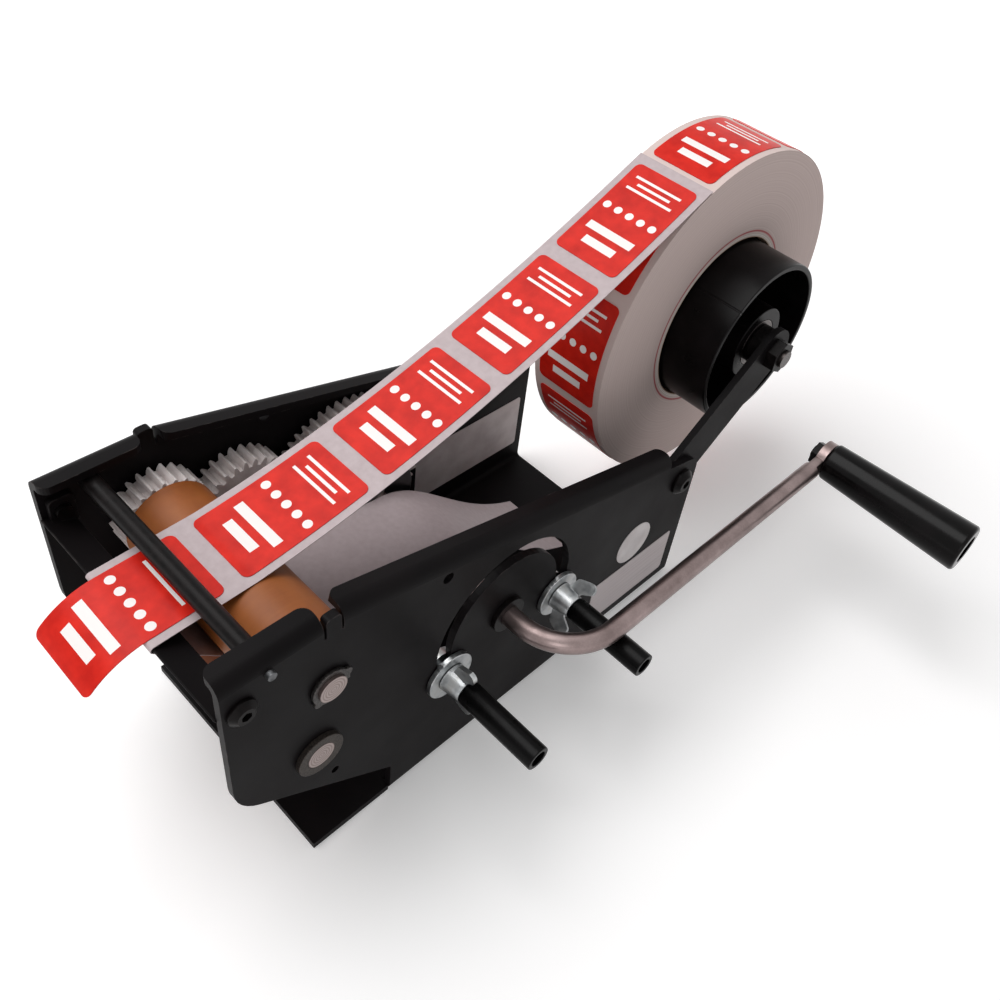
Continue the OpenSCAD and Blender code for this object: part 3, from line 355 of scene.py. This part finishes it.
parted = add(tree, "Bump", {"Height": seam, "Strength": 0.8, "Distance": 0.3 * mm})
tree.links.new(parted["Normal"], sockets["Normal"])
dress(moulded_abs, "spool_hub")
soften(0.5, "spool_hub")


# Paper core: spiral-wound board, pushed on to the hub, with the label roll wound on it. It is
# pale at the cut end, where the plies show 0.5 mm apart, and brown inside.
mm_in_m = 1000
core_mm = (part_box("label_core")[1].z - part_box("label_core")[0].z) / 2 * mm_in_m


def spool_radius(tree):
    """Distance from the spool's axis, in millimetres."""
    place = add(tree, "TexCoord")["Object"]
    centred = add(tree, "Mapping", {"Vector": place, "Location": -spool_at * mm_in_m,
                                    "Scale": (mm_in_m,) * 3})["Vector"]
    flat = add(tree, "VectorMath", {0: centred, 1: (0, 1, 1)}, operation="MULTIPLY")["Vector"]
    return add(tree, "VectorMath", {0: flat}, operation="LENGTH")["Value"]


board, tree, sockets = surface("wound_board", "#d9cdc6", Roughness=0.85)
radius = spool_radius(tree)
ply_mm = 0.5
ply = add(tree, "TexNoise", {"W": radius, "Scale": 1 / ply_mm, "Detail": 2},
          noise_dimensions="1D")["Fac"]
wall = add(tree, "MapRange", {"Value": radius, "From Min": core_mm - 1.9,
                              "From Max": core_mm - 1.5})["Result"]
cut_end = ramp(tree, ply, (0.3, "#c3b3aa"), (0.7, "#e6ddd8"))
bore = add(tree, "Mix", {"Factor": wall, "A": linear("#9a7c63"), "B": cut_end},
           data_type="RGBA")["Result"]
tree.links.new(bore, sockets["Base Color"])
dress(board, "label_core")


# Label roll: some 250 turns of backing paper with labels between, wound on the core. Its side
# shows the turns as fine rings, drawn 0.6 mm apart, and one red ring where the first labels begin.
roll_paper, tree, sockets = surface("wound_paper", "#d6c3be", Roughness=0.72, Specular_IOR_Level=0.2)
radius = spool_radius(tree)
ring_mm, red_ring_mm = 0.6, core_mm + 0.9
turns = add(tree, "TexNoise", {"W": radius, "Scale": 1 / ring_mm, "Detail": 2},
            noise_dimensions="1D")["Fac"]
sides = ramp(tree, turns, (0.3, "#d0bcb7"), (0.5, "#d6c3be"), (0.7, "#dbc9c4"))
from_red = add(tree, "Math", {0: radius, 1: red_ring_mm}, operation="SUBTRACT")["Value"]
near_red = add(tree, "Math", {0: from_red}, operation="ABSOLUTE")["Value"]
red_ring = add(tree, "MapRange", {"Value": near_red, "From Min": 0.25, "From Max": 0.6,
                                  "To Min": 0.85, "To Max": 0})["Result"]
whole = add(tree, "Mix", {"Factor": red_ring, "A": sides, "B": linear("#a8323a")},
            data_type="RGBA")["Result"]
tree.links.new(whole, sockets["Base Color"])
ridges = add(tree, "Bump", {"Height": turns, "Strength": 0.12, "Distance": 0.1 * mm})
tree.links.new(ridges["Normal"], sockets["Normal"])
dress(roll_paper, "label_roll")


# Backing paper: glassine, 0.25 mm here, siliconed on the label side. It leaves the roll, passes
# over the drive roller, turns sharply at the peel plate, goes back through the nip, over the
# crank rod and down into the chassis.
liner_low, liner_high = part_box("liner")
plate_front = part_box("peel_plate")[0].y
drive_at, crank_at = joint_at["drive_spin"].yz, joint_at["crank_turn"].yz
liner_t, label_t, gap = 0.25 * mm, 0.3 * mm, 0.3 * mm
rod_radius = 4 * mm
drive_radius = (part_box("drive_roller")[1].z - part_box("drive_roller")[0].z) / 2 + gap
roll_radius = (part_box("label_roll")[1].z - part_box("label_roll")[0].z) / 2 + label_t + gap
web_slope = math.radians(25.6)
web_rise = 0.12
nip_angle = math.radians(261.1)
peel_radius = 1.1 * mm
peel_edge_z, edge_drop, edge_reach = 0.1102, 0.75 * mm, 0.35 * mm
tail_length, tail_z = 78 * mm, 15 * mm


def bezier(points, t):
    """A point on a Bezier curve."""
    while len(points) > 1:
        points = [a.lerp(b, t) for a, b in zip(points, points[1:])]
    return points[0]


def curve(points, steps):
    """Points along a Bezier curve, without its first one."""
    return [bezier(points, i / steps) for i in range(1, steps + 1)]


def turn(centre, radius, start, end, steps):
    """Points along an arc, both ends included."""
    angles = [start + (end - start) * i / steps for i in range(steps + 1)]
    return [centre + radius * Vector((math.cos(a), math.sin(a))) for a in angles]


spool_yz = spool_at.yz
leaves_roll = spool_yz + roll_radius * Vector((-math.sin(web_slope), math.cos(web_slope)))
meets_drive = drive_at + Vector((0, drive_radius))
roll_rise = math.tan(web_slope)
bend_y = (leaves_roll.y - meets_drive.y - roll_rise * leaves_roll.x
          + web_rise * meets_drive.x) / (web_rise - roll_rise)
web_bend = Vector((bend_y, meets_drive.y + web_rise * (bend_y - meets_drive.x)))
peel_at = Vector((plate_front + peel_radius - edge_reach, peel_edge_z - edge_drop))
peel_top = peel_at + Vector((0, peel_radius))
free_web = ([leaves_roll] + curve([leaves_roll, web_bend, meets_drive], 60)
            + curve([meets_drive, peel_top], 12))


def length_of(points):
    """Length of a run of points."""
    return sum((b - a).length for a, b in zip(points, points[1:]))


label_length, label_pitch, label_out = 49 * mm, 55.5 * mm, 23 * mm
web_labels = 4
label_gap = label_pitch - label_length
strip_length = web_labels * label_pitch + label_length - label_out + 0.7 * label_gap
lap = (strip_length - length_of(free_web)) / roll_radius
leaves_angle = math.pi / 2 + web_slope
web = turn(spool_yz, roll_radius, leaves_angle - lap, leaves_angle, 8)[:-1] + free_web

to_drive = drive_at - peel_at
toward_drive = math.atan2(to_drive.y, to_drive.x)
tangent = math.asin((peel_radius - drive_radius) / to_drive.length)
peel_end = toward_drive + tangent + 1.5 * math.pi
nip = drive_at + drive_radius * Vector((math.cos(nip_angle), math.sin(nip_angle)))
out_of_nip = Vector((-math.sin(nip_angle), math.cos(nip_angle)))
over_rod = crank_at + Vector((0, rod_radius + gap + liner_t))
cut_end_at = Vector((crank_at.x + tail_length, tail_z))
past_nip = nip + 28 * mm * out_of_nip
before_rod = over_rod - 24 * mm * Vector((0.99, -0.12))
past_rod = over_rod + Vector((21 * mm, -2.5 * mm))
before_end = cut_end_at + Vector((-36 * mm, 15 * mm))
waste = (turn(peel_at, peel_radius, math.pi / 2, peel_end, 14)[1:]
         + turn(drive_at, drive_radius, peel_end, nip_angle, 12)
         + curve([nip, past_nip, before_rod, over_rod], 30)
         + curve([over_rod, past_rod, before_end, cut_end_at], 40))


def strip(name, points, half_widths, middle, low, high):
    """A thin strip along points in the YZ plane, with U across it and V along it."""
    mesh = bmesh.new()
    mapping = mesh.loops.layers.uv.new("flat")
    rows, places, walked = [], [], 0
    for i, point in enumerate(points):
        ahead = (points[min(i + 1, len(points) - 1)] - points[max(i - 1, 0)]).normalized()
        side = Vector((ahead.y, -ahead.x))
        walked += (point - points[i - 1]).length if i else 0
        ring = []
        for level, sign in ((high, -1), (high, 1), (low, 1), (low, -1)):
            spot = point + level * side
            ring.append(mesh.verts.new((middle + sign * half_widths[i], spot.x, spot.y)))
        rows.append(ring)
        places.append(walked)
    widest = max(half_widths)
    for i in range(len(rows) - 1):
        for k in range(4):
            beside = (k + 1) % 4
            face = mesh.faces.new((rows[i][k], rows[i + 1][k], rows[i + 1][beside], rows[i][beside]))
            face.smooth = k in (0, 2)
            for loop in face.loops:
                row = i if loop.vert in rows[i] else i + 1
                loop[mapping].uv = (0.5 + (loop.vert.co.x - middle) / widest / 2, places[row] / walked)
    for ring in (rows[0], rows[-1][::-1]):
        mesh.faces.new(ring)
    bmesh.ops.recalc_face_normals(mesh, faces=mesh.faces)
    for edge in mesh.edges:
        edge.smooth = edge.calc_face_angle(0) < math.radians(50)
    made = bpy.data.meshes.new(name)
    mesh.to_mesh(made)
    mesh.free()
    thing = bpy.data.objects.new(name, made)
    bpy.context.scene.collection.objects.link(thing)
    return thing


liner_middle, liner_half = (liner_low.x + liner_high.x) / 2, (liner_high.x - liner_low.x) / 2
paper_path = web + waste
backing = strip("backing_paper", paper_path, [liner_half] * len(paper_path), liner_middle, 0, liner_t)
glassine, tree, sockets = surface("glassine", "#b7a9ab", Roughness=0.5, Specular_IOR_Level=0.3)
place = add(tree, "TexCoord")["Object"]
fibre = add(tree, "TexNoise", {"Vector": place, "Scale": 1 / (2.5 * mm), "Detail": 6})["Fac"]
wave = add(tree, "TexNoise", {"Vector": place, "Scale": 1 / (25 * mm), "Detail": 2})["Fac"]
tree.links.new(ramp(tree, fibre, (0.3, "#b2a3a5"), (0.7, "#bcaeb0")), sockets["Base Color"])
cockle = add(tree, "Bump", {"Height": wave, "Strength": 0.3, "Distance": 1 * mm})
tree.links.new(cockle["Normal"], sockets["Normal"])
backing.data.materials.append(glassine)
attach(backing, "frame")
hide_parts("liner")


# Labels: coated paper, printed solid red with plain white rules, a row of dots and two bars,
# then varnished, with low blisters of about 9 mm where they part from the paper. One is half
# peeled, four ride on the paper, nine show on the roll.
printed, tree, sockets = surface("varnished_print", "#cf2216", Roughness=0.34, Specular_IOR_Level=0.13)
label_width = 30 * mm
flat = add(tree, "UVMap", uv_map="flat")["UV"]
label_mm = (label_width / mm, label_length / mm, 0)
size = add(tree, "VectorMath", {0: flat, 1: label_mm}, operation="MULTIPLY")["Vector"]
# A rule or bar is its middle and half its size, in mm from the label's corner.
rules = ((15, 6), (11, 0.6)), ((15, 9), (8, 0.6)), ((15, 12), (11, 0.6))
bars = ((15, 34), (11, 1.8)), ((15, 40.5), (7.5, 1.8))
ink = None
for middle, half in rules + bars:
    away = add(tree, "VectorMath", {0: size, 1: (*middle, 0)}, operation="SUBTRACT")["Vector"]
    away = add(tree, "VectorMath", {0: away}, operation="ABSOLUTE")["Vector"]
    shares = add(tree, "VectorMath", {0: away, 1: (*half, 1)}, operation="DIVIDE")["Vector"]
    share = add(tree, "SeparateXYZ", {0: shares})
    edge = add(tree, "Math", {0: share["X"], 1: share["Y"]}, operation="MAXIMUM")["Value"]
    inside = add(tree, "Math", {0: edge, 1: 1}, operation="LESS_THAN")["Value"]
    ink = inside if ink is None else add(tree, "Math", {0: ink, 1: inside}, operation="MAXIMUM")["Value"]
dot_pitch, dot_row, dot_radius, past_label = 5.6, 23, 1.7, 100
one_dot = (dot_pitch, past_label, 1)
nearest = add(tree, "VectorMath", {0: size, 1: one_dot}, operation="MODULO")["Vector"]
dot_at = (15 % dot_pitch, dot_row, 0)
from_dot = add(tree, "VectorMath", {0: nearest, 1: dot_at}, operation="DISTANCE")["Value"]
dot = add(tree, "Math", {0: from_dot, 1: dot_radius}, operation="LESS_THAN")["Value"]
ink = add(tree, "Math", {0: ink, 1: dot}, operation="MAXIMUM")["Value"]
place = add(tree, "TexCoord")["Object"]
mottle = add(tree, "TexNoise", {"Vector": place, "Scale": 1 / (7 * mm), "Detail": 4})["Fac"]
red = ramp(tree, mottle, (0.3, "#bf1a10"), (0.7, "#dc281a"))
print_color = add(tree, "Mix", {"Factor": ink, "A": red, "B": linear("#f4eeec")},
                  data_type="RGBA")["Result"]
tree.links.new(print_color, sockets["Base Color"])
blisters = add(tree, "TexNoise", {"Vector": place, "Scale": 1 / (9 * mm), "Detail": 2})["Fac"]
puckered = add(tree, "Bump", {"Height": blisters, "Strength": 0.25, "Distance": 0.6 * mm})
tree.links.new(puckered["Normal"], sockets["Normal"])


def along_run(points, start, end, steps):
    """Points between two lengths along a run, closer together at both ends."""
    walked = [0]
    for a, b in zip(points, points[1:]):
        walked.append(walked[-1] + (b - a).length)
    found = []
    for i in range(steps + 1):
        goal = start + (end - start) * (0.5 - 0.5 * math.cos(math.pi * i / steps))
        k = max(j for j in range(len(points) - 1) if walked[j] <= goal or j == 0)
        part = (goal - walked[k]) / (walked[k + 1] - walked[k])
        found.append(points[k].lerp(points[k + 1], part))
    return found


def label(name, points, lift, body):
    """One label on a run of points, with rounded corners."""
    total, walked, halves, corner = length_of(points), 0, [], 2.5 * mm
    for i, point in enumerate(points):
        walked += (point - points[i - 1]).length if i else 0
        short = max(0, corner - min(walked, total - walked))
        halves.append(label_width / 2 - corner + math.sqrt(max(0, corner ** 2 - short ** 2)))
    made = strip(name, points, halves, liner_middle, lift, lift + label_t)
    made.data.materials.append(printed)
    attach(made, body)
    return made


from_peel = web[::-1]
for k in range(1, web_labels + 1):
    start = k * label_pitch - label_out
    run = along_run(from_peel, start, start + label_length, 40)[::-1]
    label(f"carried_label_{k}", run, liner_t, "frame")
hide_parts("web_labels")

droop, steps = [peel_top], 24
first_droop, more_droop = 4, 45
for i in range(steps):
    angle = math.radians(first_droop + more_droop * (i + 0.5) / steps)
    droop.append(droop[-1] - label_out / steps * Vector((math.cos(angle), math.sin(angle))))
stuck = along_run(from_peel, 0, label_length - label_out, 24)[::-1]
half_peeled = stuck[:-1] + droop
smooth_run = along_run(half_peeled, 0, length_of(half_peeled), 50)
peeled = label("peeled_label", smooth_run, liner_t + 0.02 * mm, "frame")
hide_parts("front_label")

roll_count = 9
label_turn = label_length / (roll_radius - gap)
first = leaves_angle - lap - 0.4 * label_gap / roll_radius
for k in range(roll_count):
    start = first - k * 2 * math.pi / roll_count
    run = turn(spool_yz, roll_radius - gap - label_t, start - label_turn, start, 40)
    run = along_run(run, 0, length_of(run), 40)
    label(f"wound_label_{k + 1}", run, 0, "spool")
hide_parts("roll_labels")


# Stickers: a round white one and a silvery plate on the right wall, a white one inside the
# left wall. All are plain film, stuck on: matt vinyl gone dusty, and a foil with brushed lines.
vinyl_film, tree, sockets = surface("vinyl_film", "#e9e6e5", Roughness=0.4)
place = add(tree, "TexCoord")["Object"]
dust = add(tree, "TexNoise", {"Vector": place, "Scale": 1 / (9 * mm), "Detail": 5})["Fac"]
tree.links.new(ramp(tree, dust, (0.3, "#c9c1c1"), (0.65, "#dfd9d9")), sockets["Base Color"])
dress(vinyl_film, "round_sticker", "inner_sticker")
foil_film, tree, sockets = surface("foil_film", "#c2b8b9", Roughness=0.4, Metallic=0.15)
place = add(tree, "TexCoord")["Object"]
brushed = add(tree, "Mapping", {"Vector": place, "Scale": (1, 20, 1 / (0.6 * mm))})["Vector"]
hair = add(tree, "TexNoise", {"Vector": brushed, "Scale": 1, "Detail": 2})["Fac"]
tree.links.new(ramp(tree, hair, (0.3, "#b8acad"), (0.7, "#cbc2c3")), sockets["Base Color"])
dress(foil_film, "plate_sticker")


# Studio: a white table under a broad soft light from the upper left and a weaker one from
# the right. The white surround is what the camera and bright metal see, and the table fades into it.
def looked_at(tree):
    """1 on rays from the camera, from metal or through glass, 0 on the light between surfaces."""
    ray = add(tree, "LightPath")
    seen = ray["Is Camera Ray"]
    for kind in ("Is Glossy Ray", "Is Transmission Ray"):
        seen = add(tree, "Math", {0: seen, 1: ray[kind]}, operation="MAXIMUM")["Value"]
    return seen


bpy.ops.mesh.primitive_plane_add(size=8)
table = bpy.context.object
table.name = "table"
white_table, tree, sockets = surface("white_table", "#f6f5f5", Roughness=0.8, Specular_IOR_Level=0.1)
far_off = add(tree, "VectorMath", {0: add(tree, "TexCoord")["Object"]}, operation="LENGTH")["Value"]
fade = add(tree, "MapRange", {"Value": far_off, "From Min": 0.25, "From Max": 0.9,
                              "To Min": 0.22, "To Max": 1.0}, interpolation_type="SMOOTHSTEP")["Result"]
lift = add(tree, "Math", {0: looked_at(tree), 1: fade}, operation="MULTIPLY")["Value"]
tree.links.new(lift, sockets["Emission Strength"])
table.data.materials.append(white_table)

lamps = ("window", (-0.55, -0.35, 1.5), 1.3, 22.5), ("fill", (0.9, -1.1, 0.8), 0.7, 2.6)
lit_point = Vector((0, 0, 0.08))
for name, place, width, power in lamps:
    lamp = bpy.data.objects.new(name, bpy.data.lights.new(name, "AREA"))
    lamp.data.size = width
    lamp.data.energy = power
    lamp.location = place
    lamp.rotation_euler = (lit_point - lamp.location).to_track_quat("-Z", "Y").to_euler()
    bpy.context.scene.collection.objects.link(lamp)

world = bpy.data.worlds.new("studio")
world.use_nodes = True
bpy.context.scene.world = world
tree = world.node_tree
level = add(tree, "MapRange", {"Value": looked_at(tree), "To Min": 0.3, "To Max": 1.0})["Result"]
tree.links.new(level, tree.nodes["Background"].inputs["Strength"])
tree.nodes["Background"].inputs["Color"].default_value = (1, 1, 1, 1)
bpy.context.scene.view_settings.view_transform = "Standard"
